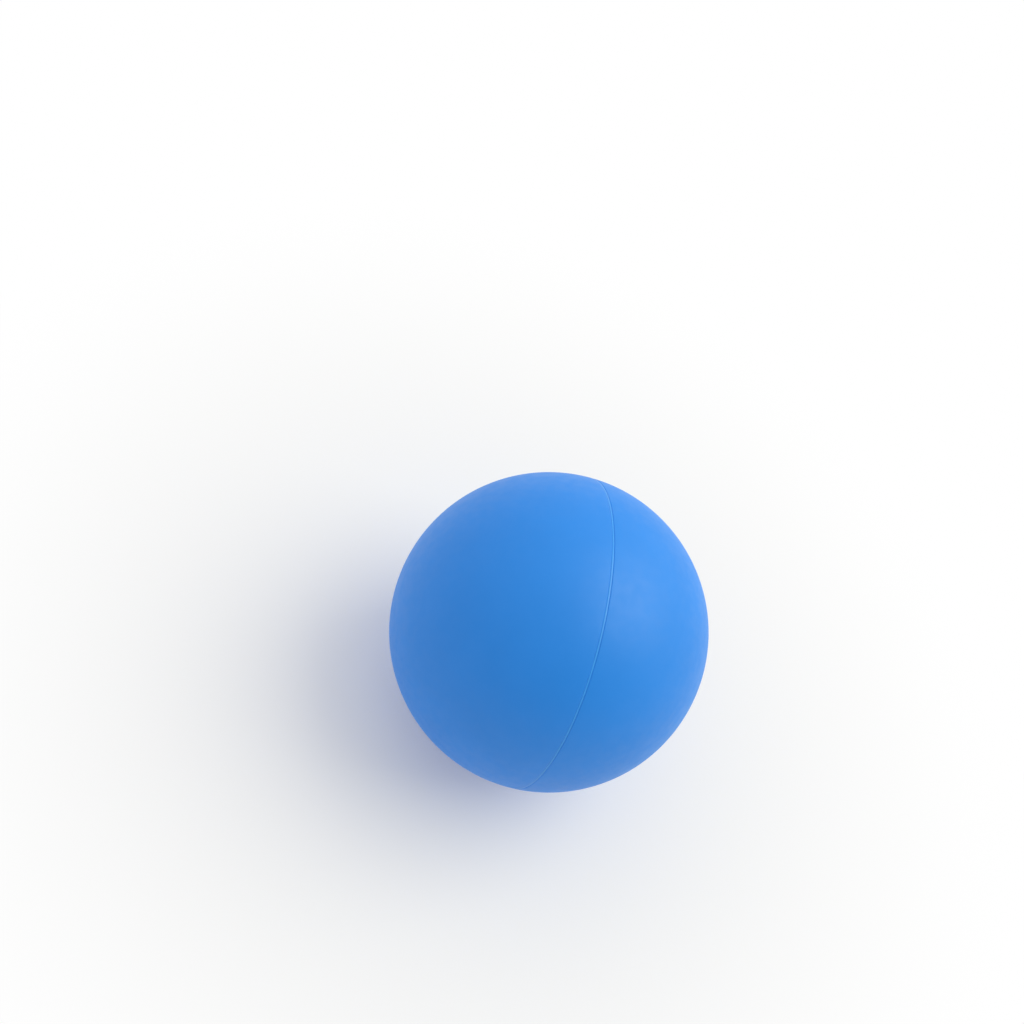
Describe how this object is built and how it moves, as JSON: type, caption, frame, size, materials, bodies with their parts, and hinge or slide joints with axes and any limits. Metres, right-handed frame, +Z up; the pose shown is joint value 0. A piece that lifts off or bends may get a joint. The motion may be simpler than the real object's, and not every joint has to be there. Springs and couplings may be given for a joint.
{
  "type": "squash ball",
  "caption": "Small hollow rubber ball for squash: moulded half shells joined along a fine cemented seam, with a plain satin blue surface.",
  "frame": {"origin": "centre of the ball", "axes": "+Z up from the floor that the ball lies on; +X through the poles of the half shells, square to the joint; +Y in the joint's plane, away from the viewer"},
  "size_m": [0.04, 0.04, 0.04],
  "materials": {
    "shell_rubber": "satin",
    "seam_cement": "satin"
  },
  "bodies": {
    "root": {"right_half_shell": "shell_rubber", "left_half_shell": "shell_rubber", "seam_cement": "seam_cement"}
  },
  "joints": []
}
